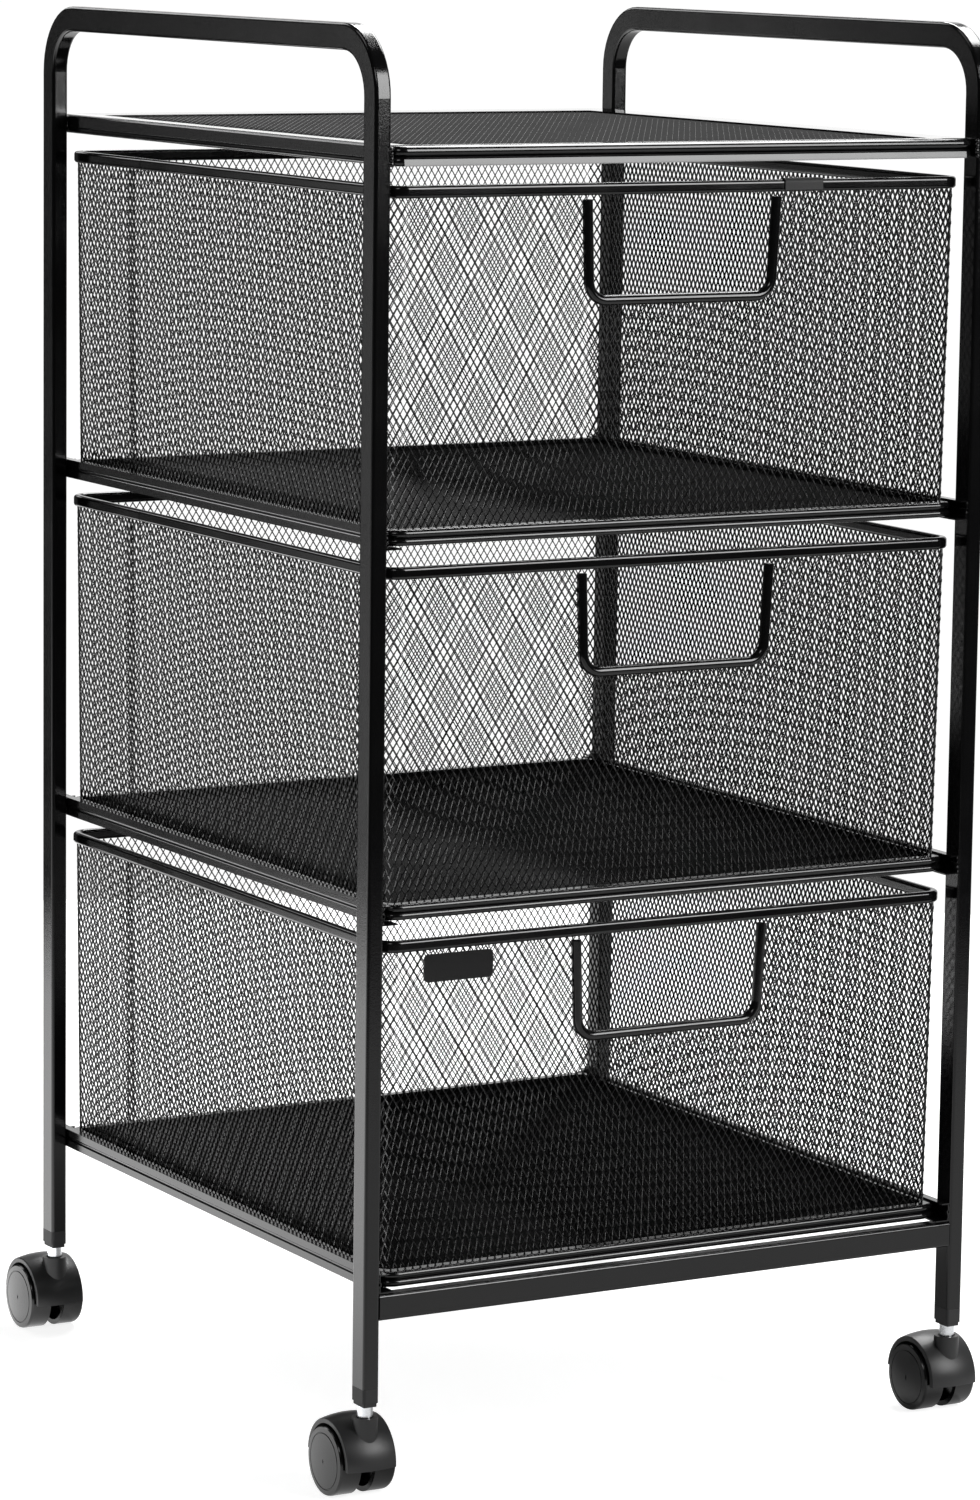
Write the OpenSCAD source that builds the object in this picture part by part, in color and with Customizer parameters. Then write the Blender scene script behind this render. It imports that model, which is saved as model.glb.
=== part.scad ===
// Rolling drawer cart: two bent-tube side frames, a mesh shelf between them,
// three mesh drawers that slide in runners and four twin-wheel casters.
// Millimetres. X runs across the cart, -Y is the front, Z is up from the floor.

/* [Frame] */
// Width over the outer faces of the side frames
frame_w = 406; // [340:1:480]
// Depth over the front and rear faces of the legs
frame_d = 428; // [360:1:500]
// Height of the handle bars above the shelf
handle_rise = 66; // [60:1:120]
// Tube size across the cart
tube_x = 10; // [9:0.5:14]
// Tube size along the cart, and height of the handle bars
tube_y = 15; // [13:0.5:20]
// Wall thickness of the tube
tube_wall = 1.2; // [0.8:0.1:1.6]
// Rounding of the tube's long edges
tube_edge = 1.8; // [1.3:0.1:3]
// Centre-line radius of the bends at the handle bars
bend_r = 32.5; // [24:0.5:42]
// Height of the front crossbar above the open leg ends
crossbar_rise = 39; // [20:1:60]
// Gap between the crossbar and the lowest runner
crossbar_gap = 0.5; // [0.5:0.5:10]

/* [Runners] */
// Height of a runner and of the shelf rim
runner_h = 11; // [9:0.5:14]
// Sheet thickness of a runner
runner_t = 0.8; // [0.6:0.1:1.2]
// Width of the lower flange that carries the drawer
lower_flange = 9.5; // [8:0.5:12]
// Width of the upper flange that keeps the drawer from tipping
upper_flange = 4.3; // [3:0.1:5]
// Setback of a runner's ends from the faces of the legs
runner_setback = 1; // [0:0.5:4]
// Depth of the bead pressed along a runner's web
bead_d = 0.7; // [0.3:0.1:0.8]
// Height from one runner to the next
drawer_pitch = 210.5; // [170:0.5:260]

/* [Drawers] */
// Free height between a drawer's top rim and the foot of the one above it
drawer_clear = 12; // [8:0.5:40]
// Gap between a drawer's mesh and a leg, at the top
wall_gap = 5.5; // [5:0.5:8]
// How far the mesh front stands behind the legs' front face
front_setback = 10; // [8:0.5:20]
// How far the mesh back stands before the legs' rear face
rear_setback = 9; // [6:0.5:30]
// How far each wall leans in from top to bottom
wall_taper = 2; // [0.5:0.5:3]
// Corner radius of the mesh at the top
corner_r = 10; // [9:0.5:20]
// Thickness of the mesh sheet
mesh_t = 1.2; // [0.8:0.1:2]
// Width of the top rim
rim_w = 5; // [4:0.5:7]
// Height of the top rim
rim_h = 7; // [5:0.5:9]
// Width of the base rim that rides in the runners
base_w = 7.5; // [7:0.5:9]
// Clearance above and below the base rim in its runner
slide_gap = 0.25; // [0.2:0.05:0.4]
// Clearance between the base rim and a runner's web
side_gap = 1.2; // [1:0.1:1.6]
// Length of the lap where the ends of the top rim join
sleeve_l = 34; // [20:1:50]
// Distance from the mesh back to the middle of that lap
sleeve_y = 82; // [60:1:120]
// Length of the clip over the top drawer's front rim
clip_l = 25; // [12:1:40]
// Gap between the handle's right arm and that clip
clip_gap = 1; // [0:0.5:20]
// Width of the strip where the mesh overlaps itself
seam_w = 12; // [8:1:20]
// How far a drawer slides out
drawer_travel = 270; // [100:5:300]

/* [Mesh] */
// Width of one diamond
diamond_w = 48; // [40:1:80]
// Height of one diamond
diamond_h = 60; // [50:1:90]
// Width of a strand between diamonds
strand_w = 5; // [3:0.5:8]
// Width of the plain edge round a sheet
edge_w = 4; // [3:0.5:8]

/* [Handles] */
// Distance between the handle's arms at the top
grip_w = 125; // [90:1:160]
// Depth of the grip below the top rim
grip_h = 59; // [40:1:80]
// Diameter of the handle rod
rod_d = 6; // [4:0.5:7]
// Gap between the top rim and the ends of the arms
arm_gap = 2.5; // [0.5:0.5:6]
// Lean of the arms toward each other
grip_lean = 2.5; // [0:0.5:12]
// Centre-line radius of the handle's corners
grip_r = 11; // [8:0.5:20]

/* [Badge plate] */
// Width of the bare plate on the bottom drawer
plate_w = 44.5; // [30:0.5:60]
// Height of the plate
plate_h = 16; // [10:0.5:24]
// Thickness of the plate
plate_t = 1; // [0.6:0.1:2]
// Distance from the drawer's left side to the plate
plate_side = 25.5; // [14:0.5:60]
// Gap from the top rim down to the plate
plate_drop = 2.3; // [1:0.1:12]

/* [Shelf] */
// Width of the shelf rim
shelf_rim_w = 8; // [6:0.5:9]
// Corner radius of the shelf rim
shelf_corner = 10; // [9:0.5:16]
// How far the shelf mesh lies below the rim's top
shelf_sink = 1.5; // [1:0.1:3]

/* [Casters] */
// Wheel diameter
wheel_d = 40; // [34:1:46]
// Width over both wheels
wheel_span = 37.8; // [36:0.2:44]
// Gap between the two wheels
wheel_gap = 9; // [8.6:0.2:12]
// Rounding of a wheel's outer edge
wheel_edge = 3; // [1:0.1:4]
// Distance of the axle behind the stem
caster_trail = 15; // [10:0.5:18]
// Width of the hood
hood_w = 31.5; // [26:0.5:34]
// Radius of the hood at its middle
hood_r = 26.5; // [24:0.5:30]
// How much less the hood's radius is at its ends
hood_crown = 2.2; // [1:0.1:3]
// Rounding of the hood's ends
hood_edge = 1.2; // [0.5:0.1:2]
// Clearance between a wheel and the hood
hood_gap = 1.5; // [1:0.1:2]
// How far the hood reaches below the axle at the front, in degrees
hood_front = 3; // [0:1:30]
// How far above the axle the hood ends at the rear, in degrees
hood_rear = 5; // [0:1:30]
// Axle diameter
axle_d = 5; // [4:0.5:6]
// Radial clearance of a wheel on its axle
axle_gap = 0.06; // [0.03:0.01:0.1]
// Diameter of the boss under the stem
boss_d = 15; // [13:0.5:17]
// Height of the boss above the hood
boss_rise = 1.2; // [0.5:0.1:4]
// Diameter of the stem's collar
collar_d = 9; // [7:0.5:10]
// Length of the collar that shows
collar_show = 6.8; // [4:0.1:12]
// Diameter of the swivel pin below the collar
pin_d = 6; // [5:0.1:6.2]
// Radial clearance of the pin in the hood
pin_gap = 0.05; // [0.03:0.01:0.1]
// Diameter of the stem inside the leg plug
stem_d = 5; // [4:0.5:5.5]
// Height of the plug below the leg
plug_h = 10.5; // [6:0.5:16]
// Length of the plug inside the leg
plug_in = 22; // [15:1:40]
// Clearance between the plug and the inside of the tube
plug_gap = 0.1; // [0.05:0.05:0.2]

/* [Hidden] */
$fn = 48;
over = 1;                 // how far a cutter runs past the face it opens
touch = 0.05;             // gap between a cut edge and the rod laid in it
lap = 0.3;                // how far a straight stretch runs into its bend
shy = 0.02;               // how far it lies below the bend's surface there
ease = 0.5;               // how much rounder a sheet's corners are than the rim round it

axle_z = wheel_d / 2;
hood_top = axle_z + hood_r;
boss_top = hood_top + boss_rise;
plug_z = boss_top + collar_show;
leg_z = plug_z + plug_h;

frame_y = -caster_trail;  // keeps the casters' reach equal at front and rear
inner_w = frame_w - 2 * tube_x;
leg_y = (frame_d - tube_y) / 2;
crossbar_z = leg_z + crossbar_rise;
runner_z = crossbar_z + tube_y + crossbar_gap;
shelf_z = runner_z + 3 * drawer_pitch;
shelf_top = shelf_z + runner_h;
frame_h = shelf_top + handle_rise;
bend_z = frame_h - tube_y / 2 - bend_r;

drawer_h = drawer_pitch - drawer_clear;
base_h = runner_h - 2 * runner_t - 2 * slide_gap;
base_x = inner_w / 2 - runner_t - side_gap;
wall_x = inner_w / 2 - wall_gap;
wall_h = drawer_h - rim_h - base_h;
front_y = -frame_d / 2 + front_setback;
rear_y = frame_d / 2 - rear_setback;
mid_y = (front_y + rear_y) / 2;
wall_y = (rear_y - front_y) / 2;
flat_x = wall_x - corner_r;
flat_y = wall_y - corner_r;
base_out = base_x - (wall_x - wall_taper);
base_corner = corner_r - wall_taper + base_out;
stop_y = mid_y + flat_y + slide_gap
       + sqrt(pow(base_corner, 2) - pow(inner_w / 2 - lower_flange - flat_x, 2));
lean = atan(wall_taper / wall_h);

hub_r = axle_d / 2 + 3;
wheel_w = (wheel_span - wheel_gap) / 2;
crown_r = (pow(hood_w / 2, 2) + pow(hood_crown, 2)) / (2 * hood_crown);
web_w = wheel_gap - 1;

// Shared shapes

module rounded_rect(a, b, r) {
  square([a - 2 * r, b], center = true);
  square([a, b - 2 * r], center = true);
  for (x = [-1, 1], y = [-1, 1])
    translate([x * (a / 2 - r), y * (b / 2 - r)]) circle(r);
}

module tube_section(a, b) {
  difference() {
    rounded_rect(a, b, tube_edge);
    rounded_rect(a - 2 * tube_wall, b - 2 * tube_wall, max(tube_edge - tube_wall, 0.1));
  }
}

// A closed frame with round corners: the section's own +X is the outside,
// and x, y are the half sizes to the corner centres.
module ring(x, y, r) {
  for (s = [-1, 1]) {
    translate([s * x, s * y, 0]) rotate([90, 0, s > 0 ? 0 : 180])
      linear_extrude(2 * y) translate([r, 0]) children();
    translate([-s * x, s * y, 0]) rotate([90, 0, s > 0 ? 90 : -90])
      linear_extrude(2 * x) translate([r, 0]) children();
  }
  for (q = [0 : 3])
    translate([(q == 0 || q == 3 ? 1 : -1) * x, (q < 2 ? 1 : -1) * y, 0])
      rotate([0, 0, 90 * q]) rotate_extrude(angle = 90) translate([r, 0]) children();
}

// Rolled section with two ridges on its outer side, which ends at x = 0
module ridged_section(w, h) {
  r = h / 4;
  translate([-w, 0]) square([w - r, h]);
  for (z = [r, h - r]) translate([-r, z]) circle(r);
}

// Sheet of staggered diamonds, w by h, with half diamonds along its edges
module diamond_sheet(w, h) {
  nx = max(1, round((w - 2 * edge_w) / diamond_w));
  nz = max(1, round((h - 2 * edge_w) / diamond_h));
  px = (w - 2 * edge_w) / nx;
  pz = (h - 2 * edge_w) / nz;
  gap_x = px / 2 - strand_w * sqrt(px * px + pz * pz) / pz / 2;
  gap_z = gap_x * pz / px;
  difference() {
    square([w, h], center = true);
    intersection() {
      square([w - 2 * edge_w, h - 2 * edge_w], center = true);
      for (i = [0 : 2 * nx], j = [0 : 2 * nz])
        if ((i + j) % 2 == 1)
          translate([(i - nx) * px / 2, (j - nz) * pz / 2])
            polygon([[gap_x, 0], [0, gap_z], [-gap_x, 0], [0, -gap_z]]);
    }
  }
}

// The same sheet with round corners, to lie inside a rim
module rounded_sheet(w, h, r) {
  intersection() {
    diamond_sheet(w, h);
    rounded_rect(w, h, r + ease);
  }
}

// Frame

module side_frame(side) {
  translate([side * (frame_w - tube_x) / 2, frame_y, 0]) {
    for (s = [-1, 1]) {
      translate([0, s * leg_y, leg_z]) linear_extrude(bend_z - leg_z) tube_section(tube_x, tube_y);
      translate([0, s * (leg_y - bend_r), bend_z]) rotate([90, 0, 90]) rotate([0, 0, s > 0 ? 0 : 90])
        rotate_extrude(angle = 90) translate([bend_r, 0]) tube_section(tube_y, tube_x);
    }
    translate([0, leg_y - bend_r, frame_h - tube_y / 2]) rotate([90, 0, 0])
      linear_extrude(2 * (leg_y - bend_r)) tube_section(tube_x, tube_y);
  }
}

module crossbar() {
  translate([-inner_w / 2, frame_y - (frame_d - tube_x) / 2, crossbar_z + tube_y / 2]) rotate([0, 90, 0])
    linear_extrude(inner_w) tube_section(tube_y, tube_x);
}

// Section of the left runner, with its web's outer face at x = 0
module runner_section() {
  bead_r = 1.6;
  difference() {
    union() {
      square([runner_t, runner_h]);
      square([lower_flange, runner_t]);
      translate([0, runner_h - runner_t]) square([upper_flange + runner_t, runner_t]);
      translate([runner_t + bead_d - bead_r, runner_h / 2]) circle(bead_r);
    }
    translate([-2 * bead_r, 0]) square([2 * bead_r, runner_h]);
    translate([bead_d - bead_r, runner_h / 2]) circle(bead_r);
  }
}

module runner(side, level) {
  length = frame_d - 2 * runner_setback;
  mirror([side > 0 ? 1 : 0, 0, 0])
    translate([-inner_w / 2, frame_y, runner_z + level * drawer_pitch]) {
      translate([0, length / 2, 0]) rotate([90, 0, 0]) linear_extrude(length) runner_section();
      // the folded end that stops the drawer when it closes
      translate([runner_t, stop_y, runner_t])
        cube([lower_flange - runner_t, runner_t, runner_h - 2 * runner_t]);
    }
}

module shelf_rim() {
  translate([0, frame_y, shelf_z])
    ring(inner_w / 2 - shelf_corner, frame_d / 2 - shelf_corner, shelf_corner)
      ridged_section(shelf_rim_w, runner_h);
}

module shelf_mesh() {
  translate([0, frame_y, shelf_top - shelf_sink - mesh_t]) linear_extrude(mesh_t)
    rounded_sheet(inner_w - 2 * shelf_rim_w, frame_d - 2 * shelf_rim_w, shelf_corner - shelf_rim_w);
}

// Casters, drawn round the stem's axis with the axle behind it

module at_leg(side, end) {
  translate([side * (frame_w - tube_x) / 2, frame_y + end * leg_y, 0]) children();
}

module leg_plug() {
  step = 2.2;
  inset = 1.6;
  difference() {
    union() {
      translate([0, 0, plug_z]) linear_extrude(step) rounded_rect(tube_x - inset, tube_y - inset, tube_edge / 2);
      translate([0, 0, plug_z + step]) linear_extrude(plug_h - step) rounded_rect(tube_x, tube_y, tube_edge);
      translate([0, 0, leg_z]) linear_extrude(plug_in)
        rounded_rect(tube_x - 2 * (tube_wall + plug_gap), tube_y - 2 * (tube_wall + plug_gap), 0.5);
    }
    translate([0, 0, plug_z - over]) cylinder(h = plug_h + plug_in + 2 * over, d = stem_d);
  }
}

collar_z = boss_top - 2.4;
pin_z = axle_z + hub_r + 4;

module stem() {
  translate([0, 0, pin_z]) cylinder(h = collar_z - pin_z, d = pin_d);
  translate([0, 0, collar_z]) cylinder(h = plug_z - collar_z, d = collar_d);
  translate([0, 0, plug_z]) cylinder(h = plug_h + plug_in - over, d = stem_d);
}

// Everything turned about the axle: the revolved section's height runs along X
module about_axle() {
  translate([0, caster_trail, axle_z]) rotate([0, 90, 0]) rotate([0, 0, 180]) children();
}

// Half section of the hood's drum: crowned, with round ends
module hood_section() {
  end_r = hood_r - 0.8 * hood_crown - hood_edge;
  intersection() {
    union() {
      translate([0, -hood_w / 2]) square([end_r, hood_w]);
      translate([0, hood_edge - hood_w / 2]) square([hood_r, hood_w - 2 * hood_edge]);
      for (s = [-1, 1]) translate([end_r, s * (hood_w / 2 - hood_edge)]) circle(hood_edge);
    }
    translate([hood_r - crown_r, 0]) circle(crown_r, $fn = 180);
  }
}

module hood() {
  difference() {
    union() {
      difference() {
        union() {
          about_axle() rotate_extrude() hood_section();
          translate([0, 0, axle_z]) cylinder(h = boss_top - axle_z, d = boss_d);
        }
        for (s = [-1, 1]) about_axle() translate([0, 0, s > 0 ? web_w / 2 : -hood_w])
          cylinder(h = hood_w - web_w / 2, r = wheel_d / 2 + hood_gap);
        hood_opening();
      }
      about_axle() translate([0, 0, -web_w / 2]) cylinder(h = web_w, r = hub_r);
    }
    about_axle() translate([0, 0, -hood_w]) cylinder(h = 2 * hood_w, d = axle_d + 0.04);
    translate([0, 0, collar_z - 0.3]) cylinder(h = boss_top, d = collar_d + 1.2);
    translate([0, 0, pin_z - 0.5]) cylinder(h = boss_top, d = pin_d + 2 * pin_gap);
  }
}

// The open underside, between the hood's front and rear edges
module hood_opening() {
  reach = 3 * hood_r;
  translate([-hood_w, caster_trail, axle_z]) rotate([90, 0, 90]) linear_extrude(2 * hood_w)
    polygon([[0, 0],
             [-reach * cos(hood_front), -reach * sin(hood_front)],
             [-reach, -reach], [reach, -reach],
             [reach * cos(hood_rear), reach * sin(hood_rear)]]);
}

module axle() {
  about_axle() translate([0, 0, 2.5 - wheel_span / 2]) cylinder(h = wheel_span - 5, d = axle_d);
}

// side is +1 for the wheel toward +X
module wheel(side) {
  dome_r = 160;
  cap_r = wheel_d / 2 - wheel_edge - 0.8;
  groove_r = 0.4;
  about_axle() mirror([0, 0, side > 0 ? 0 : 1]) rotate_extrude() difference() {
    intersection() {
      translate([0, wheel_gap / 2]) union() {
        square([wheel_d / 2 - wheel_edge, wheel_w]);
        square([wheel_d / 2, wheel_w - wheel_edge]);
        translate([wheel_d / 2 - wheel_edge, wheel_w - wheel_edge]) circle(wheel_edge);
      }
      translate([0, wheel_span / 2 - dome_r]) circle(dome_r, $fn = 360);
    }
    translate([0, 0]) square([axle_d / 2 + axle_gap, wheel_span / 2 - 2.4]);
    translate([hub_r, 0]) square([wheel_d / 2 - 3 - hub_r, wheel_gap / 2 + wheel_w / 2]);
    // the joint round the cap
    translate([cap_r, wheel_span / 2 - cap_r * cap_r / dome_r / 2]) circle(groove_r, $fn = 16);
  }
}

// Drawers, drawn with the base rim's underside at z = 0

module at_drawer(level) {
  translate([0, frame_y + mid_y, runner_z + level * drawer_pitch + runner_t + slide_gap]) children();
}

module base_rim() {
  ring(flat_x, flat_y, base_corner) ridged_section(base_w, base_h);
}

module top_rim() {
  r = corner_r - mesh_t / 2;
  translate([0, 0, drawer_h - rim_h / 2]) {
    ring(flat_x, flat_y, r) rounded_rect(rim_w, rim_h, 2);
    translate([-flat_x - r, wall_y - sleeve_y + sleeve_l / 2, 0]) rotate([90, 0, 0])
      linear_extrude(sleeve_l) rounded_rect(rim_w + 0.5, rim_h, 2.2);
  }
}

// Folded over the front rim, beside the handle's right arm
module rim_clip() {
  t = 0.5;
  translate([grip_w / 2 + rod_d / 2 + clip_gap, mesh_t / 2 - wall_y, drawer_h - rim_h / 2])
    rotate([90, 0, 90]) linear_extrude(clip_l) intersection() {
      rounded_rect(rim_w + 2 * t, rim_h + 2 * t, 2 + t);
      translate([-rim_w, -0.2 * rim_h]) square([2 * rim_w, rim_h]);
    }
}

module floor_mesh() {
  inset = base_out - base_w;
  translate([0, 0, base_h / 2]) linear_extrude(mesh_t)
    rounded_sheet(2 * (wall_x - wall_taper + inset), 2 * (wall_y - wall_taper + inset), base_corner - base_w);
}

// A wall is drawn flat with its lower edge on the X axis, then leaned outward.
// reach is the distance from the drawer's middle to the corner centres.
module lean_wall(turn, reach) {
  rotate([0, 0, turn]) translate([0, -reach - corner_r + wall_taper, base_h])
    rotate([lean, 0, 0]) children();
}

module wall_slab() {
  intersection() {
    children();
    translate([-frame_w, -frame_d, base_h]) cube([2 * frame_w, 2 * frame_d, wall_h]);
  }
}

module flat_wall(turn, reach, length, inset = 0) {
  wall_slab() lean_wall(turn, reach) translate([0, mesh_t - inset, -over]) rotate([90, 0, 0])
    linear_extrude(mesh_t - 2 * inset) translate([0, wall_h / 2 + over]) difference() {
      diamond_sheet(length, wall_h + 2 * over);
      children();
    }
}

module corner_strip(x, y, turn) {
  low = corner_r - wall_taper;
  translate([x * flat_x, y * flat_y, base_h]) intersection() {
    difference() {
      cylinder(h = wall_h, r1 = low, r2 = corner_r);
      translate([0, 0, -wall_h])
        cylinder(h = 3 * wall_h, r1 = low - wall_taper - mesh_t, r2 = corner_r + wall_taper - mesh_t);
    }
    rotate([0, 0, turn]) cube([2 * corner_r, 2 * corner_r, wall_h]);
  }
}

// Outline of the hand opening, grown by d: its arms run up past the wall
module grip_outline(d) {
  top = grip_h + 4 * rod_d;
  foot = grip_w / 2 - grip_h * tan(grip_lean);
  r = grip_r + d;
  turn = 90 - grip_lean;
  cx = foot - grip_r * tan(turn / 2);
  right = concat(
    [for (i = [0 : 8]) [cx + r * sin(turn * i / 8), grip_r - r * cos(turn * i / 8)]],
    [[foot + top * tan(grip_lean) + d / cos(grip_lean), top]]);
  polygon(concat(right, [for (i = [len(right) - 1 : -1 : 0]) [-right[i][0], right[i][1]]]));
}

module front_wall() {
  flat_wall(0, flat_y, 2 * flat_x)
    translate([0, wall_h / 2 - grip_h]) grip_outline(rod_d / 2 + touch);
}

module side_wall(side) {
  flat_wall(90 * side, flat_x, 2 * (flat_y + lap), shy);
  corner_strip(side, -1, side > 0 ? -90 : 180);
  corner_strip(side, 1, side > 0 ? 0 : 90);
  if (side < 0) wall_slab()
    lean_wall(-90, flat_x) translate([sleeve_y - wall_y - seam_w / 2, 0, -over])
      cube([seam_w, mesh_t, wall_h + 2 * over]);
}

module handle() {
  turn = 90 - grip_lean;
  foot = grip_w / 2 - grip_h * tan(grip_lean);
  cx = foot - grip_r * tan(turn / 2);
  arm = (grip_h - arm_gap) / cos(grip_lean) - grip_r * tan(turn / 2);
  lean_wall(0, flat_y) translate([0, mesh_t / 2, wall_h - grip_h]) rotate([90, 0, 0]) {
    translate([-cx, 0, 0]) rotate([0, 90, 0]) cylinder(h = 2 * cx, d = rod_d);
    for (s = [0, 1]) mirror([s, 0, 0]) {
      translate([cx, grip_r, 0]) rotate([0, 0, -90])
        rotate_extrude(angle = turn) translate([grip_r, 0]) circle(d = rod_d);
      translate([cx, grip_r, 0]) rotate([0, 0, turn - 90]) translate([grip_r, -lap, 0])
        rotate([-90, 0, 0]) cylinder(h = lap + arm, d = rod_d - 2 * shy);
    }
  }
}

module badge_plate() {
  x = wall_x - plate_side - plate_w / 2;
  lean_wall(0, flat_y) translate([-x, 0, wall_h - plate_drop - plate_h / 2]) rotate([90, 0, 0])
    linear_extrude(plate_t) rounded_rect(plate_w, plate_h, 3);
}

// Nodes

steel = [0.16, 0.16, 0.17];
mesh_black = [0.1, 0.1, 0.11];
plastic = [0.2, 0.2, 0.22];
zinc = [0.78, 0.82, 0.85];

module left_side_frame() { color(steel) side_frame(-1); }
module right_side_frame() { color(steel) side_frame(1); }
module front_crossbar() { color(steel) crossbar(); }
module left_lower_runner() { color(steel) runner(-1, 0); }
module left_middle_runner() { color(steel) runner(-1, 1); }
module left_upper_runner() { color(steel) runner(-1, 2); }
module right_lower_runner() { color(steel) runner(1, 0); }
module right_middle_runner() { color(steel) runner(1, 1); }
module right_upper_runner() { color(steel) runner(1, 2); }
module top_shelf_rim() { color(steel) shelf_rim(); }
module top_shelf_mesh() { color(mesh_black) shelf_mesh(); }

module front_left_leg_plug() { color(plastic) at_leg(-1, -1) leg_plug(); }
module front_right_leg_plug() { color(plastic) at_leg(1, -1) leg_plug(); }
module rear_left_leg_plug() { color(plastic) at_leg(-1, 1) leg_plug(); }
module rear_right_leg_plug() { color(plastic) at_leg(1, 1) leg_plug(); }
module front_left_stem() { color(zinc) at_leg(-1, -1) stem(); }
module front_right_stem() { color(zinc) at_leg(1, -1) stem(); }
module rear_left_stem() { color(zinc) at_leg(-1, 1) stem(); }
module rear_right_stem() { color(zinc) at_leg(1, 1) stem(); }

module front_left_hood() { color(plastic) at_leg(-1, -1) hood(); }
module front_right_hood() { color(plastic) at_leg(1, -1) hood(); }
module rear_left_hood() { color(plastic) at_leg(-1, 1) hood(); }
module rear_right_hood() { color(plastic) at_leg(1, 1) hood(); }
module front_left_axle() { color(zinc) at_leg(-1, -1) axle(); }
module front_right_axle() { color(zinc) at_leg(1, -1) axle(); }
module rear_left_axle() { color(zinc) at_leg(-1, 1) axle(); }
module rear_right_axle() { color(zinc) at_leg(1, 1) axle(); }

module front_left_outer_wheel() { color(plastic) at_leg(-1, -1) wheel(-1); }
module front_left_inner_wheel() { color(plastic) at_leg(-1, -1) wheel(1); }
module front_right_outer_wheel() { color(plastic) at_leg(1, -1) wheel(1); }
module front_right_inner_wheel() { color(plastic) at_leg(1, -1) wheel(-1); }
module rear_left_outer_wheel() { color(plastic) at_leg(-1, 1) wheel(-1); }
module rear_left_inner_wheel() { color(plastic) at_leg(-1, 1) wheel(1); }
module rear_right_outer_wheel() { color(plastic) at_leg(1, 1) wheel(1); }
module rear_right_inner_wheel() { color(plastic) at_leg(1, 1) wheel(-1); }

module bottom_drawer_top_rim() { color(steel) at_drawer(0) top_rim(); }
module bottom_drawer_base_rim() { color(steel) at_drawer(0) base_rim(); }
module bottom_drawer_floor_mesh() { color(mesh_black) at_drawer(0) floor_mesh(); }
module bottom_drawer_front_mesh() { color(mesh_black) at_drawer(0) front_wall(); }
module bottom_drawer_rear_mesh() { color(mesh_black) at_drawer(0) flat_wall(180, flat_y, 2 * flat_x); }
module bottom_drawer_left_mesh() { color(mesh_black) at_drawer(0) side_wall(-1); }
module bottom_drawer_right_mesh() { color(mesh_black) at_drawer(0) side_wall(1); }
module bottom_drawer_handle() { color(steel) at_drawer(0) handle(); }
module middle_drawer_top_rim() { color(steel) at_drawer(1) top_rim(); }
module middle_drawer_base_rim() { color(steel) at_drawer(1) base_rim(); }
module middle_drawer_floor_mesh() { color(mesh_black) at_drawer(1) floor_mesh(); }
module middle_drawer_front_mesh() { color(mesh_black) at_drawer(1) front_wall(); }
module middle_drawer_rear_mesh() { color(mesh_black) at_drawer(1) flat_wall(180, flat_y, 2 * flat_x); }
module middle_drawer_left_mesh() { color(mesh_black) at_drawer(1) side_wall(-1); }
module middle_drawer_right_mesh() { color(mesh_black) at_drawer(1) side_wall(1); }
module middle_drawer_handle() { color(steel) at_drawer(1) handle(); }
module top_drawer_top_rim() { color(steel) at_drawer(2) { top_rim(); rim_clip(); } }
module top_drawer_base_rim() { color(steel) at_drawer(2) base_rim(); }
module top_drawer_floor_mesh() { color(mesh_black) at_drawer(2) floor_mesh(); }
module top_drawer_front_mesh() { color(mesh_black) at_drawer(2) front_wall(); }
module top_drawer_rear_mesh() { color(mesh_black) at_drawer(2) flat_wall(180, flat_y, 2 * flat_x); }
module top_drawer_left_mesh() { color(mesh_black) at_drawer(2) side_wall(-1); }
module top_drawer_right_mesh() { color(mesh_black) at_drawer(2) side_wall(1); }
module top_drawer_handle() { color(steel) at_drawer(2) handle(); }
module bottom_drawer_plate() { color(steel) at_drawer(0) badge_plate(); }

left_side_frame();
right_side_frame();
front_crossbar();
left_lower_runner();
left_middle_runner();
left_upper_runner();
right_lower_runner();
right_middle_runner();
right_upper_runner();
top_shelf_rim();
top_shelf_mesh();
front_left_leg_plug();
front_right_leg_plug();
rear_left_leg_plug();
rear_right_leg_plug();
front_left_stem();
front_right_stem();
rear_left_stem();
rear_right_stem();
front_left_hood();
front_right_hood();
rear_left_hood();
rear_right_hood();
front_left_axle();
front_right_axle();
rear_left_axle();
rear_right_axle();
front_left_outer_wheel();
front_left_inner_wheel();
front_right_outer_wheel();
front_right_inner_wheel();
rear_left_outer_wheel();
rear_left_inner_wheel();
rear_right_outer_wheel();
rear_right_inner_wheel();
bottom_drawer_top_rim();
bottom_drawer_base_rim();
bottom_drawer_floor_mesh();
bottom_drawer_front_mesh();
bottom_drawer_rear_mesh();
bottom_drawer_left_mesh();
bottom_drawer_right_mesh();
bottom_drawer_handle();
middle_drawer_top_rim();
middle_drawer_base_rim();
middle_drawer_floor_mesh();
middle_drawer_front_mesh();
middle_drawer_rear_mesh();
middle_drawer_left_mesh();
middle_drawer_right_mesh();
middle_drawer_handle();
top_drawer_top_rim();
top_drawer_base_rim();
top_drawer_floor_mesh();
top_drawer_front_mesh();
top_drawer_rear_mesh();
top_drawer_left_mesh();
top_drawer_right_mesh();
top_drawer_handle();
bottom_drawer_plate();
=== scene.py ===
"""Dresses a rolling drawer cart of black powder-coated steel, for a plain studio picture."""
import math
import random

import bmesh
import bpy
from mathutils import Matrix, Vector


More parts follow.
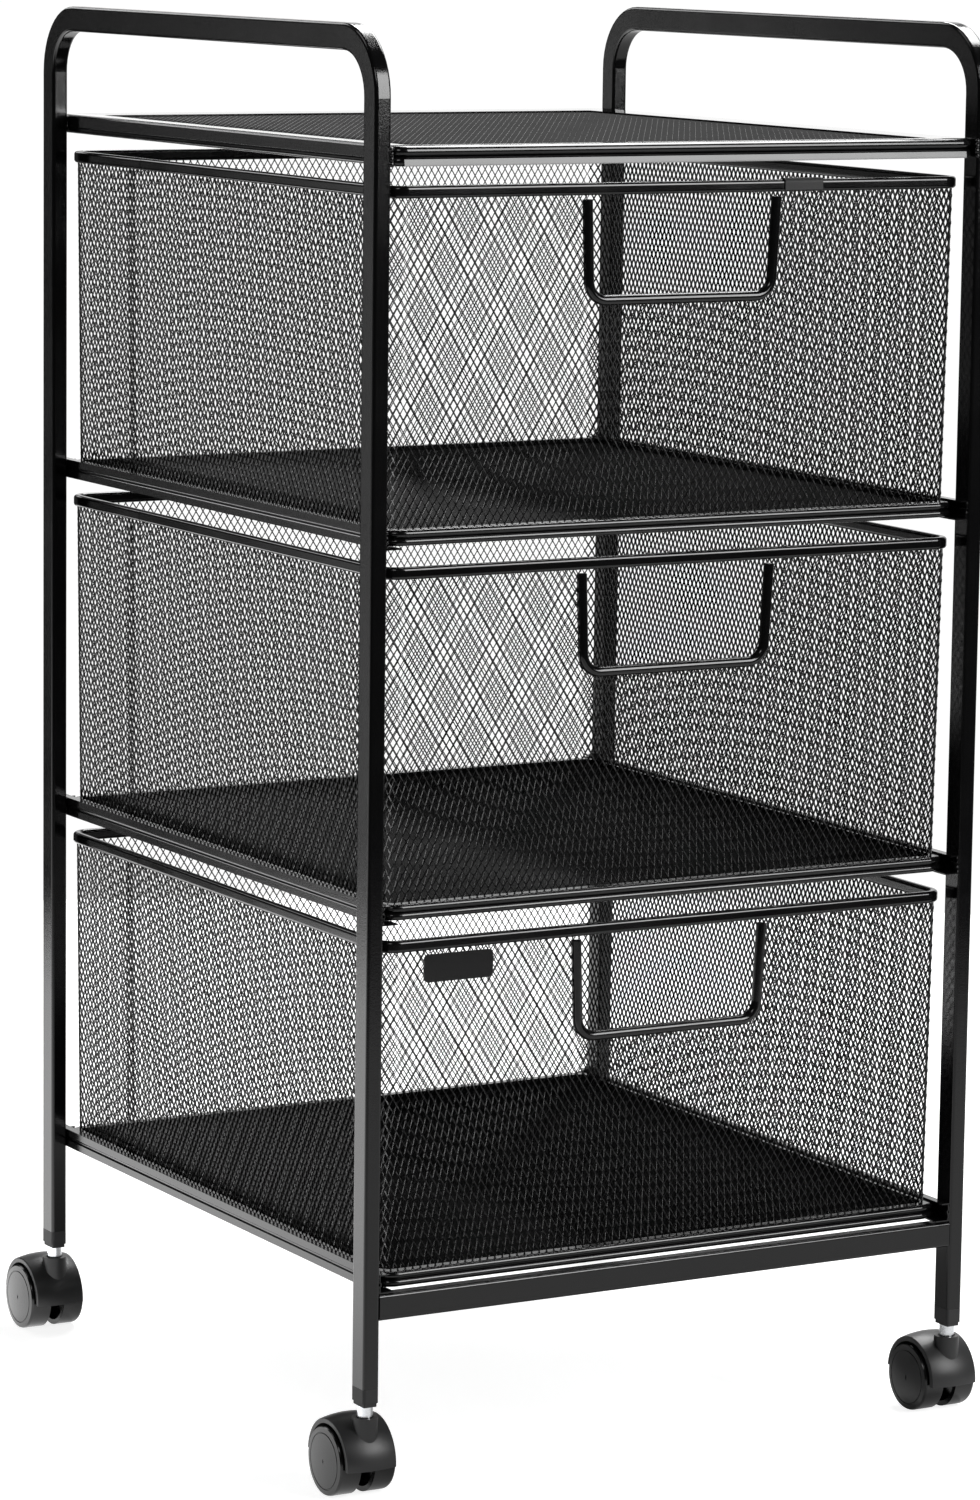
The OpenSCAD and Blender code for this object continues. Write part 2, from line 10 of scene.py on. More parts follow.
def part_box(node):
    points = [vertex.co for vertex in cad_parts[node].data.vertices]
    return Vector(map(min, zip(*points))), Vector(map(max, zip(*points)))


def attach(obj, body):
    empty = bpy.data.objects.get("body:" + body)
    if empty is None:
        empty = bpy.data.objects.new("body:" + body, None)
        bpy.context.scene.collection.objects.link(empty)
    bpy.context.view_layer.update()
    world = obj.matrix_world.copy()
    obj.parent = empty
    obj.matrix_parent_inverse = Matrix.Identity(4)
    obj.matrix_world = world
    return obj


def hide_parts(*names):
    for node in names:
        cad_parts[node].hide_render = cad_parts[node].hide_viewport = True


bl_info = {
    "name": "Rolling drawer cart",
    "version": (1, 0, 0),
    "blender": (4, 5, 0),
    "location": "3D View > Sidebar > Cart",
    "description": "Weaves the mesh, coats the steel and sets the stage of a rolling drawer cart",
    "category": "Object",
}

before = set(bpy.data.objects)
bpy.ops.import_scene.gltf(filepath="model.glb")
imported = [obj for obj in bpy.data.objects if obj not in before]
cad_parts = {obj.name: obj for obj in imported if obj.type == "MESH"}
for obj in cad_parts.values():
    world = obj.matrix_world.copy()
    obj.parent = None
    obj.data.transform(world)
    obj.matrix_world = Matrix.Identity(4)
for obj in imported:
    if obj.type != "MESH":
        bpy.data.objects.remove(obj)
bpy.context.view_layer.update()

SIDES = ("left", "right")
ENDS = ("front", "rear")
LEVELS = ("bottom", "middle", "top")
RUNNERS = ("lower", "middle", "upper")

# The drawers, in metres
WALL_T = 0.0012        # sheet thickness in the solids
CORNER_R = 0.010       # corner radius of a drawer's mesh at the top, outside
WALL_TAPER = 0.002     # how far a wall leans in from top to bottom
TUCK = 0.0035          # how far a net runs into its rims
ROD_R = 0.003          # radius of the handle rod
GRIP_LEAN = 2.5        # lean of the handle's arms, in degrees
OPENING_CORNER = 0.011     # corner radius of the hand opening
WALL_WIDTHS = {        # width of a wall's strands, in strand widths
    "front_mesh": 1.04, "right_mesh": 1.16, "rear_mesh": 1.0, "left_mesh": 0.9}
SEAM_BACK = 0.082      # middle of a left wall's seam, from the drawer's back
SEAM_CELLS = 2         # width of the seam, in cells
SEAM_GAP = 0.0004      # between the seam's two layers
SEAM_WIDTH = 0.8       # width of the seam's strands as a share of the walls'

# The net's knuckles, and the blades of the level nets
KNUCKLE_SPREAD = 1.35      # width of a knuckle, in strands
KNUCKLE_LEAST = 0.0001     # a shorter knuckle is left out
END_FACING = 0.9           # a face that looks along a bar by more than this is its end
BLADE_T = 0.0006           # thickness of a strand in the floors and the shelf
SHELF_FINENESS = 0.8       # size of the shelf's cells as a share of the floors'

# The plain border of the shelf's sheet, on the crest of the shelf's rim
SHELF_CREST = 0.0028       # from the rim's outside to its crest
SHELF_BORDER = 0.018       # width of the border
SHELF_CORNER = 0.010       # corner radius of the rim
SHELF_CORNER_LEAST = 0.003     # corner radius of the border's inner side
BORDER_PROFILE = (         # its points, from the rim's outside inwards, and from its top upwards
    (SHELF_CREST, -0.0006),
    (SHELF_CREST, 0.0001),
    (SHELF_CREST + 0.0003, 0.0004),
    (SHELF_CREST + SHELF_BORDER, -0.0002),
    (SHELF_CREST + SHELF_BORDER, -0.001),
)

# The flat bands of the shelf's rail
BAND_RUN = (-0.2138, 0.1838)   # of the side bands, from the front legs to the rear legs
BAND_PROUD = 0.00012           # how far a side band stands out from the rim
BAND_DEPTH = 0.0015            # how far a band reaches into the rim
BAND_EASE = 0.0006             # how far its edges are eased back
BAND_TOP = (0.0002, 0.0009)    # below the rim's top, where the upper edge starts and ends
BAND_FOOT = (0.0036, 0.0042)   # above the rim's foot, where the lower edge starts and ends
LIP_RUN = 0.185        # half the length of the front band
LIP_BOW = 0.020        # radius of its bow
LIP_PROUD = 0.00035    # how far it stands out from the rim
LIP_DROP = 0.0006      # from the rim's foot down to the bow's middle
LIP_ANGLES = (178, 167)    # where the bow starts and stops, in degrees
LIP_STEPS = 8

# The weld beads at the front legs
WELD_R = 0.0019        # radius of a bead; slimmer beside the drawers' path
WELD_PITCH = 0.0026    # from one bead to the next
WELD_CLEARANCE = 0.0008    # left free between a bead and a drawer that passes
WELD_SEED = 11         # of the beads' uneven places and sizes
WELD_OFFSET = 0.0005   # how far a bead's middle may stand off the leg
WELD_STAGGER = 0.0006  # how far a bead may move along the rail
WELD_STRETCH = 1.2     # of the widest bead, across the joint
WELD_LEAST = 0.7       # of the narrowest and the lowest bead
WELD_TALLEST = 1.1     # of the tallest bead
WELD_FLATNESS = 0.6    # of every bead, along the rail

# The sleeve on the top drawer's front rim
SLEEVE_LEFT = 0.0663   # where it starts
SLEEVE_LENGTH = 0.0254
SLEEVE_PROUD = 0.0003  # how far its top lies above the rim
SLEEVE_DROP = 0.0064   # from the rim's top down to its foot
SLEEVE_HALF = 0.0034   # half its thickness over the rim
SLEEVE_BEND = 0.0026   # radius of the fold
SLEEVE_BEVEL = 0.0003
SHARP = 1.0            # an edge that turns by more, in radians, is bevelled

# The powder coat's grain
CLOUD_SCALE = 22.0     # soft clouds of tone and gloss, to the metre
SPECK_SCALE = 2600.0   # fine specks of tone, to the metre
GLOSS_CHANGE = 0.18    # change of roughness from cloud to cloud
PEEL_HEIGHT = 0.0004   # of the orange peel's bumps
CLEAR_ROUGHNESS = 0.1  # of a clear coat

# The studio
PICTURE_HEIGHT = 1500      # in the pixels that the focal length was measured in
SENSOR_HEIGHT = 36         # in millimetres
CAMERA_RANGE = (0.05, 60)  # the nearest and the farthest that the camera sees
FLOOR_RADIUS = 1.6         # the floor ends before it would light the front from below
FLOOR_WHITE = 0.85         # glow of the floor for the camera
PAINTED_POOL = (-0.6, 0.65, 0)     # middle of the painted pool of light on the floor, behind the cart
PAINTED_POOL_REACH = (0.3, 1.5)    # where the painted pool's glow in reflections starts to fall, and where it ends
PAINTED_POOL_GLOW = (1.9, 0.1)     # the painted glow at these two distances
PAINTED_SHADOW_SIDE = (0.15, 0.24)  # edges of the painted shadow on the floor under the cart, to the side
PAINTED_SHADOW_END = (0.24, 0.42)   # and to the front and back
PAINTED_SHADOW_GLOW = (0.08, 1.0)   # share of the painted glow inside and outside these edges
ROOM_GLOW = 0.03           # of the dim room, in reflections

# The screens' edges in reflections: each change starts and stops at a direction, from -1 to 1,
# and goes from one value to another
LEFT_START = (-0.565, -0.505, 0.0, 1.0)    # to the right: the left screen starts
LEFT_STOP = (-0.50, -0.45, 1.0, 0.0)       # to the right: it stops
LEFT_APRON = (-0.17, -0.10, 1.0, 0.0)      # upwards: low down, it runs on to the left
LEFT_TOP = (-0.02, 0.01, 1.0, 0.15)        # upwards: it is dim above level
LEFT_FOOT = (-0.19, -0.08, 1.45, 1.0)      # upwards: it is brighter low down
REAR_START = (0.15, 0.4, 0.0, 1.0)         # to the right: the screen behind starts
REAR_TOP = (0.3, 0.5, 1.0, 0.0)            # upwards: it stops
REAR_HALF = (-0.3, 0.5, 0.0, 1.0)          # to the back: both screens start

LAMPS = (  # name, place, what it looks at, size, brightness
    ("Overhead softbox", (1.08, 0.9, 2.25), (0, 0.9, 0.75), (2.4, 0.7), 14),
    ("Left softbox", (-1.37, 0.55, 2.75), (0, 0, 0.75), (1.2, 1.2), 1.6),
    ("Rear softbox", (-0.5, 2.05, 1.85), (0, 0, 0.75), (1.0, 1.0), 3),
    ("Front panel", (1.28, -2.35, 1.62), (0, -0.2, 1.2), (1.0, 1.65), 10),
    ("Key softbox", (-1.35, -2.1, 2.1), (0, 0, 0.5), (0.7, 0.7), 5),
)


# Sizes and colours that a user would change

class MeshSizes(bpy.types.PropertyGroup):
    """The expanded metal of the drawers and the shelf"""
    cell_width: bpy.props.FloatProperty(
        name="Cell width", description="Width of one diamond opening and its strand",
        default=0.00485, min=0.003, max=0.012, unit="LENGTH")
    cell_height: bpy.props.FloatProperty(
        name="Cell height", description="Height of one diamond opening and its knuckle",
        default=0.0079, min=0.004, max=0.02, unit="LENGTH")
    strand_width: bpy.props.FloatProperty(
        name="Strand width", description="Width of a strand across its tilted face",
        default=0.00088, min=0.0003, max=0.003, unit="LENGTH")
    strand_thickness: bpy.props.FloatProperty(
        name="Strand thickness", description="Thickness of the sheet the walls are cut from",
        default=0.00033, min=0.0002, max=0.002, unit="LENGTH")
    strand_tilt: bpy.props.FloatProperty(
        name="Strand tilt", description="Turn of a strand's face out of the sheet",
        default=math.radians(40), min=math.radians(-80), max=math.radians(80), subtype="ANGLE")
    knuckle_length: bpy.props.FloatProperty(
        name="Knuckle length", description="Length of the joint where strands meet",
        default=0.0017, min=0.0005, max=0.004, unit="LENGTH")
    blade_width: bpy.props.FloatProperty(
        name="Floor strand width", description="Width of a strand in the floors and the shelf",
        default=0.0019, min=0.0004, max=0.003, unit="LENGTH")
    blade_tilt: bpy.props.FloatProperty(
        name="Floor strand tilt", description="Turn of a strand's face in the floors and the shelf",
        default=math.radians(-55), min=math.radians(-80), max=math.radians(80), subtype="ANGLE")


class FinishColours(bpy.types.PropertyGroup):
    """Colours and gloss of the coated steel, the plastic and the bright pins"""
    coat: bpy.props.FloatVectorProperty(
        name="Coat", description="Colour of the powder coat", subtype="COLOR",
        size=4, default=(0.0032, 0.0032, 0.0034, 1), min=0, max=1)
    coat_roughness: bpy.props.FloatProperty(
        name="Coat roughness", description="Roughness of the powder coat on the tubes",
        default=0.11, min=0, max=1, subtype="FACTOR")
    strand: bpy.props.FloatVectorProperty(
        name="Mesh", description="Colour of the coated mesh", subtype="COLOR",
        size=4, default=(0.0032, 0.0032, 0.0034, 1), min=0, max=1)
    plastic: bpy.props.FloatVectorProperty(
        name="Plastic", description="Colour of the hoods, the leg plugs and the rim sleeve",
        subtype="COLOR", size=4, default=(0.022, 0.022, 0.0225, 1), min=0, max=1)
    zinc: bpy.props.FloatVectorProperty(
        name="Zinc", description="Colour of the zinc-plated stems and axles", subtype="COLOR",
        size=4, default=(0.9, 0.92, 0.94, 1), min=0, max=1)


class StageSettings(bpy.types.PropertyGroup):
    """The camera and the lamps"""
    camera_place: bpy.props.FloatVectorProperty(
        name="Camera", description="Place of the camera", subtype="TRANSLATION",
        size=3, default=(-1.635216, -2.883445, 0.903227))
    azimuth: bpy.props.FloatProperty(
        name="Azimuth", description="Turn of the view from straight ahead", subtype="ANGLE",
        default=math.radians(-29.612))
    pitch: bpy.props.FloatProperty(
        name="Pitch", description="Tilt of the view above level", subtype="ANGLE",
        default=math.radians(-8.898))
    roll: bpy.props.FloatProperty(
        name="Roll", description="Turn of the camera about its own line of sight", subtype="ANGLE",
        default=math.radians(0.747))
    focal_share: bpy.props.FloatProperty(
        name="Focal length", description="Focal length as a share of the picture's height",
        default=5522.397 / PICTURE_HEIGHT, min=0.5, max=20)
    lamp_level: bpy.props.FloatProperty(
        name="Lamp level", description="Strength of the lamps as a whole",
        default=1.0, min=0, max=10)


# Building blocks for node trees

def add(tree, kind, inputs=None, **settings):
    """Adds a node, gives it its settings, and links or sets the inputs named in the dictionary."""
    made = tree.nodes.new(kind)
    for name, value in settings.items():
        setattr(made, name, value)
    for key, value in (inputs or {}).items():
        if isinstance(value, bpy.types.NodeSocket):
            tree.links.new(value, made.inputs[key])
        else:
            made.inputs[key].default_value = value
    return made


def set_inputs(node, values):
    """Sets a node's inputs by their names."""
    for name, value in values.items():
        node.inputs[name].default_value = value


def ramp(tree, value, start, stop, low, high):
    """A smooth change from low to high while the value goes from start to stop."""
    return add(tree, "ShaderNodeMapRange",
               {"Value": value, "From Min": start, "From Max": stop, "To Min": low, "To Max": high},
               interpolation_type="SMOOTHSTEP").outputs[0]


class Sums:
    """Arithmetic in a node tree: each call adds a Math node and gives its result."""

    def __init__(self, tree):
        self.tree = tree

    def __call__(self, operation, *values):
        inputs = {place: value for place, value in enumerate(values)}
        return add(self.tree, "ShaderNodeMath", inputs, operation=operation).outputs[0]


# Finishes

def new_shader_group(name, inputs, outputs):
    """An empty shader group with its sockets, given as (name, type, default)."""
    group = bpy.data.node_groups.new(name, "ShaderNodeTree")
    for label, kind, default in inputs:
        socket = group.interface.new_socket(label, in_out="INPUT", socket_type=kind)
        socket.default_value = default
    for label, kind in outputs:
        group.interface.new_socket(label, in_out="OUTPUT", socket_type=kind)
    return group


def powder_grain_group():
    """Fine orange peel of a powder coat, with soft changes of tone and gloss over the surface"""
    group = new_shader_group(
        "Powder grain",
        [("Colour", "NodeSocketColor", (0.01, 0.01, 0.01, 1)),
         ("Roughness", "NodeSocketFloat", 0.4),
         ("Peel size", "NodeSocketFloat", 1600.0),
         ("Peel depth", "NodeSocketFloat", 0.1),
         ("Tone change", "NodeSocketFloat", 0.2)],
        [("Colour", "NodeSocketColor"), ("Roughness", "NodeSocketFloat"),
         ("Normal", "NodeSocketVector")])
    given = add(group, "NodeGroupInput").outputs
    place = add(group, "ShaderNodeTexCoord").outputs["Object"]

    def noise(scale, detail, **more):
        """A noise texture on the object's own coordinates, with scale blotches to the metre"""
        made = add(group, "ShaderNodeTexNoise",
                   {"Vector": place, "Scale": scale, "Detail": detail, **more})
        return made.outputs["Fac"]

    calc = Sums(group)
    peel = noise(given["Peel size"], 2.0, Roughness=0.6)
    cloud = calc("SUBTRACT", noise(CLOUD_SCALE, 3.0), 0.5)
    speck = calc("SUBTRACT", noise(SPECK_SCALE, 0.0), 0.5)
    tone = calc("MULTIPLY_ADD", cloud, given["Tone change"], 1.0)
    fleck = calc("MULTIPLY_ADD", speck, given["Tone change"], tone)
    colour = add(group, "ShaderNodeVectorMath", {0: given["Colour"], "Scale": fleck},
                 operation="SCALE")
    rough = calc("MULTIPLY_ADD", cloud, GLOSS_CHANGE, given["Roughness"])
    bump = add(group, "ShaderNodeBump",
               {"Height": peel, "Strength": given["Peel depth"], "Distance": PEEL_HEIGHT})
    add(group, "NodeGroupOutput",
        {"Colour": colour.outputs[0], "Roughness": rough, "Normal": bump.outputs["Normal"]})
    return group


def grained_material(name, colour, roughness, peel_size, peel_depth, tone_change,
                     metallic=0.0, coat=0.0):
    """A material whose colour, gloss and surface come from the powder grain group."""
    material = bpy.data.materials.new(name)
    material.use_nodes = True
    material.diffuse_color = tuple(colour)
    tree = material.node_tree
    shader = tree.nodes["Principled BSDF"]
    group = bpy.data.node_groups.get("Powder grain") or powder_grain_group()
    grain = add(tree, "ShaderNodeGroup",
                {"Colour": tuple(colour), "Roughness": roughness, "Peel size": peel_size,
                 "Peel depth": peel_depth, "Tone change": tone_change}, node_tree=group)
    for output, socket in (("Colour", "Base Color"), ("Roughness", "Roughness"),
                           ("Normal", "Normal")):
        tree.links.new(grain.outputs[output], shader.inputs[socket])
    set_inputs(shader, {"Metallic": metallic, "Coat Weight": coat,
                        "Coat Roughness": CLEAR_ROUGHNESS})
    return material


def finish(name):
    """The material of that name, made the first time it is asked for."""
    if name in bpy.data.materials:
        return bpy.data.materials[name]
    colours = bpy.context.scene.cart_finish
    recipes = {
        "Powder coat": dict(
            colour=colours.coat, roughness=colours.coat_roughness,
            peel_size=1500.0, peel_depth=0.10, tone_change=0.25),
        "Coated rod": dict(
            colour=colours.coat, roughness=0.13,
            peel_size=1800.0, peel_depth=0.03, tone_change=0.2),
        "Coated strand": dict(
            colour=colours.strand, roughness=0.28,
            peel_size=1200.0, peel_depth=0.1, tone_change=0.3),
        "Coated blade": dict(
            colour=colours.strand, roughness=0.2,
            peel_size=1200.0, peel_depth=0.02, tone_change=0.3),
        "Coated sheet": dict(
            colour=colours.coat, roughness=0.1,
            peel_size=1500.0, peel_depth=0.02, tone_change=0.2, coat=1.0),
        "Matte plastic": dict(
            colour=colours.plastic, roughness=0.6,
            peel_size=2600.0, peel_depth=0.15, tone_change=0.3),
        "Moulded plastic": dict(
            colour=colours.plastic, roughness=0.38,
            peel_size=2200.0, peel_depth=0.05, tone_change=0.15),
        "Polished plastic": dict(
            colour=colours.coat, roughness=0.2,
            peel_size=2200.0, peel_depth=0.02, tone_change=0.15),
        "Bright zinc": dict(
            colour=colours.zinc, roughness=0.25,
            peel_size=3000.0, peel_depth=0.05, tone_change=0.2, metallic=1.0),
    }
    return grained_material(name, **recipes[name])


def dress(node, name):
    """Gives a CAD node a finish."""
    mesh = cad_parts[node].data
    mesh.materials.clear()
    mesh.materials.append(finish(name))


# The expanded metal, as a geometry node tree

NET_INPUTS = (
    ("Path", "NodeSocketObject", None),
    ("Columns", "NodeSocketInt", 10),
    ("Rows", "NodeSocketInt", 10),
    ("Cell Height", "NodeSocketFloat", 0.0079),
    ("Start", "NodeSocketFloat", 0.0),
    ("Up", "NodeSocketVector", (0, 0, 1)),
    ("Lean", "NodeSocketFloat", 0.0),
    ("Lean Foot", "NodeSocketFloat", 0.0),
    ("Strand Width", "NodeSocketFloat", 0.001),
    ("Strand Thickness", "NodeSocketFloat", 0.0005),
    ("Tilt", "NodeSocketFloat", 0.6),
    ("Knuckle Length", "NodeSocketFloat", 0.002),
    ("Opening Middle", "NodeSocketFloat", 0.0),
    ("Opening Foot", "NodeSocketFloat", 10.0),
    ("Opening Half Width", "NodeSocketFloat", 0.05),
    ("Opening Flare", "NodeSocketFloat", 0.0),
    ("Opening Corner", "NodeSocketFloat", 0.01),
    ("Material", "NodeSocketMaterial", None),
)


def net_tree():
    """Tilted strands and knuckles on a grid, laid along a path and raised along Up"""
    name = "Expanded metal"
    if name in bpy.data.node_groups:
        return bpy.data.node_groups[name]
    tree = bpy.data.node_groups.new(name, "GeometryNodeTree")
    tree.interface.new_socket("Geometry", in_out="INPUT", socket_type="NodeSocketGeometry")
    for label, kind, default in NET_INPUTS:
        socket = tree.interface.new_socket(label, in_out="INPUT", socket_type=kind)
        if default is not None:
            socket.default_value = default
    tree.interface.new_socket("Geometry", in_out="OUTPUT", socket_type="NodeSocketGeometry")
    given = add(tree, "NodeGroupInput").outputs
    calc = Sums(tree)
    path = add(tree, "GeometryNodeObjectInfo", {"Object": given["Path"]}).outputs["Geometry"]
    length = add(tree, "GeometryNodeCurveLength", {"Curve": path}).outputs[0]
    half_w = calc("DIVIDE", calc("DIVIDE", length, given["Columns"]), 2.0)
    half_h = calc("DIVIDE", given["Cell Height"], 2.0)

    def combine(x=0.0, y=0.0, z=0.0):
        """A vector from its three parts"""
        return add(tree, "ShaderNodeCombineXYZ", {0: x, 1: y, 2: z}).outputs[0]

    def transform(geometry, **change):
        """The geometry after a Rotation or a Translation"""
        return add(tree, "GeometryNodeTransform", {"Geometry": geometry, **change}).outputs[0]

    def vector(operation, *values, **scale):
        """Vector arithmetic: adds a Vector Math node and gives its result"""
        inputs = {**{place: value for place, value in enumerate(values)}, **scale}
        return add(tree, "ShaderNodeVectorMath", inputs, operation=operation).outputs[0]

    def own_place():
        """The parts of a point's own place on the flat net"""
        position = add(tree, "GeometryNodeInputPosition").outputs[0]
        return add(tree, "ShaderNodeSeparateXYZ", {0: position}).outputs

    def diagonal(a, b):
        """The length of a diagonal"""
        return calc("SQRT", calc("ADD", calc("MULTIPLY", a, a), calc("MULTIPLY", b, b)))

    def bar(width, thickness, long, turn):
        """An open-ended bar along Z, tilted about its length and turned in the sheet by turn"""
        cube = add(tree, "GeometryNodeMeshCube", {"Size": combine(width, thickness, long)})
        normal = add(tree, "GeometryNodeInputNormal").outputs[0]
        facing = add(tree, "ShaderNodeSeparateXYZ", {0: normal}).outputs[2]
        ends = calc("GREATER_THAN", calc("ABSOLUTE", facing), END_FACING)
        sides = add(tree, "GeometryNodeDeleteGeometry",
                    {"Geometry": cube.outputs["Mesh"], "Selection": ends}, domain="FACE")
        tilted = transform(sides.outputs[0], Rotation=combine(z=given["Tilt"]))
        turned = transform(tilted, Rotation=combine(y=turn))
        return add(tree, "GeometryNodeGeometryToInstance", {0: turned}).outputs[0]

    def lattice(count_x, count_z, start_x, start_z):
        """Points half a cell apart, from a first point at start_x and start_z"""
        size_x = calc("MULTIPLY", calc("SUBTRACT", count_x, 1.0), half_w)
        size_z = calc("MULTIPLY", calc("SUBTRACT", count_z, 1.0), half_h)
        grid = add(tree, "GeometryNodeMeshGrid",
                   {"Size X": size_x, "Size Y": size_z,
                    "Vertices X": count_x, "Vertices Y": count_z})
        upright = transform(grid.outputs["Mesh"], Rotation=(math.pi / 2, 0, 0))
        move = combine(x=calc("ADD", start_x, calc("MULTIPLY", size_x, 0.5)),
                       z=calc("ADD", start_z, calc("MULTIPLY", size_z, 0.5)))
        return transform(upright, Translation=move)

    def parity(offset):
        """0 or 1 in turn, like the squares of a chess board, from a point's own place"""
        x, _, z = own_place()
        column = calc("FLOOR", calc("ADD", calc("DIVIDE", x, half_w), offset))
        height = calc("SUBTRACT", z, given["Start"])
        row = calc("FLOOR", calc("ADD", calc("DIVIDE", height, half_h), offset))
        return calc("FLOORED_MODULO", calc("ADD", column, row), 2.0)

    def in_opening():
        """Whether a point lies inside the hand opening, whose lower corners are round"""
        x, _, z = own_place()
        corner = given["Opening Corner"]
        across = calc("ABSOLUTE", calc("SUBTRACT", x, given["Opening Middle"]))
        above = calc("SUBTRACT", z, given["Opening Foot"])
        reach = calc("MULTIPLY_ADD", above, given["Opening Flare"], given["Opening Half Width"])
        beside = calc("MAXIMUM", calc("ADD", calc("SUBTRACT", across, reach), corner), 0.0)
        below = calc("MAXIMUM", calc("SUBTRACT", corner, above), 0.0)
        return calc("LESS_THAN", diagonal(beside, below), corner)

    def without(points, selection):
        """The points that aren't selected"""
        kept = add(tree, "GeometryNodeDeleteGeometry", {"Geometry": points, "Selection": selection})
        return kept.outputs[0]

    def joined(*parts):
        """Several geometries in one"""
        join = add(tree, "GeometryNodeJoinGeometry")
        for part in parts:
            tree.links.new(part, join.inputs[0])
        return join.outputs[0]

    double_columns = calc("MULTIPLY", given["Columns"], 2.0)
    double_rows = calc("MULTIPLY", given["Rows"], 2.0)
    slant, arm = calc("ARCTAN2", half_w, half_h), diagonal(half_w, half_h)
    arms = joined(*(bar(given["Strand Width"], given["Strand Thickness"], arm, turn)
                    for turn in (calc("MULTIPLY", slant, -1.0), slant)))
    arm_points = lattice(double_columns, double_rows, calc("MULTIPLY", half_w, 0.5),
                         calc("MULTIPLY_ADD", half_h, 0.5, given["Start"]))
    strands = add(tree, "GeometryNodeInstanceOnPoints",
                  {"Points": without(arm_points, in_opening()), "Instance": arms,
                   "Pick Instance": True, "Instance Index": parity(0.0)})

    knuckle = bar(calc("MULTIPLY", given["Strand Width"], KNUCKLE_SPREAD),
                  given["Strand Thickness"], given["Knuckle Length"], 0.0)
    knuckle_points = lattice(double_columns, calc("ADD", double_rows, 1.0), 0.0, given["Start"])
    skip = calc("MAXIMUM", calc("MAXIMUM", parity(0.5), in_opening()),
                calc("LESS_THAN", given["Knuckle Length"], KNUCKLE_LEAST))
    knuckles = add(tree, "GeometryNodeInstanceOnPoints",
                   {"Points": without(knuckle_points, skip), "Instance": knuckle})
    flat = add(tree, "GeometryNodeRealizeInstances",
               {"Geometry": joined(knuckles.outputs[0], strands.outputs[0])})

    # The flat net is laid along the path: its x runs along it, its z along Up, its y outwards
    x, y, z = own_place()
    sample = add(tree, "GeometryNodeSampleCurve", {"Curves": path, "Length": x},
                 mode="LENGTH", use_all_curves=True, data_type="FLOAT_VECTOR")
    outward = vector("CROSS_PRODUCT", sample.outputs["Tangent"], given["Up"])
    leaned = calc("MULTIPLY_ADD", calc("SUBTRACT", z, given["Lean Foot"]), given["Lean"],
                  calc("MULTIPLY", y, -1.0))
    on_path = vector("ADD", sample.outputs["Position"], vector("SCALE", outward, Scale=leaned))
    final = vector("ADD", on_path, vector("SCALE", given["Up"], Scale=z))
    bent = add(tree, "GeometryNodeSetPosition", {"Geometry": flat.outputs[0], "Position": final})
    coated = add(tree, "GeometryNodeSetMaterial",
                 {"Geometry": bent.outputs[0], "Material": given["Material"]})
    add(tree, "NodeGroupOutput", {"Geometry": coated.outputs[0]})
    return tree


def path_object(name, points):
    """A plain open line through the points, for a net to follow."""
    curve = bpy.data.curves.new(name, "CURVE")
    curve.dimensions = "3D"
    spline = curve.splines.new("POLY")
    spline.points.add(len(points) - 1)
    for at, point in zip(spline.points, points):
        at.co = (*point, 1)
    made = bpy.data.objects.new(name, curve)
    bpy.context.scene.collection.objects.link(made)
    return made


def weave(name, points, material, settings):
    """A net of expanded metal along the points, as a plain mesh object at the origin."""
    path = path_object(name + " path", points)
    holder = bpy.data.objects.new(name + " holder", bpy.data.meshes.new(name + " holder"))
    bpy.context.scene.collection.objects.link(holder)
    modifier = holder.modifiers.new("Net", "NODES")
    modifier.node_group = net_tree()
    sockets = {socket.name: socket.identifier
               for socket in modifier.node_group.interface.items_tree if socket.in_out == "INPUT"}
    for label, value in {"Path": path, "Material": finish(material), **settings}.items():
        modifier[sockets[label]] = value
    bpy.context.view_layer.update()
    evaluated = holder.evaluated_get(bpy.context.evaluated_depsgraph_get())
    made = bpy.data.objects.new(name, bpy.data.meshes.new_from_object(evaluated))
    made.data.name = name
    bpy.context.scene.collection.objects.link(made)
    holder.modifiers.remove(modifier)
    bpy.data.objects.remove(holder)
    bpy.data.objects.remove(path)
    return made


def weave_level(name, low, high, sizes, fineness=1.0):
    """A level net of steep blades that fills a box, for a drawer's floor or the shelf."""
    columns = round((high.x - low.x) / (sizes.cell_width * fineness))
    rows = round((high.y - low.y) / (sizes.cell_height * fineness))
    z = (low.z + high.z) / 2
    return weave(name, [(low.x, 0, z), (high.x, 0, z)], "Coated blade", {
        "Columns": columns, "Rows": rows, "Cell Height": (high.y - low.y) / rows,
        "Start": low.y, "Up": (0, 1, 0), "Strand Width": sizes.blade_width * fineness,
        "Strand Thickness": BLADE_T, "Tilt": sizes.blade_tilt, "Knuckle Length": 0.0})


# Shapes made face by face

def arc(middle, radius, start, stop, steps=12):
    """Points on an arc about a middle, between two angles in degrees"""
    angles = [math.radians(start + (stop - start) * i / steps) for i in range(steps + 1)]
    return [(middle[0] + radius * math.cos(a), middle[1] + radius * math.sin(a)) for a in angles]


def rounded_loop(low, high, inset, z):
    """Points of the shelf rim's outline, moved inwards by the inset, at height z"""
    radius = max(SHELF_CORNER - inset, SHELF_CORNER_LEAST)
    x0, x1 = low.x + inset + radius, high.x - inset - radius
    y0, y1 = low.y + inset + radius, high.y - inset - radius
    points = arc((x1, y0), radius, -90, 0) + arc((x1, y1), radius, 0, 90)
    points += arc((x0, y1), radius, 90, 180) + arc((x0, y0), radius, 180, 270)
    return [(x, y, z) for x, y in points]


def bridge(shape, one, other):
    """Joins two closed rows of as many corners with a ring of faces."""
    for i, start in enumerate(one):
        stop = (i + 1) % len(one)
        shape.faces.new((start, one[stop], other[stop], other[i]))


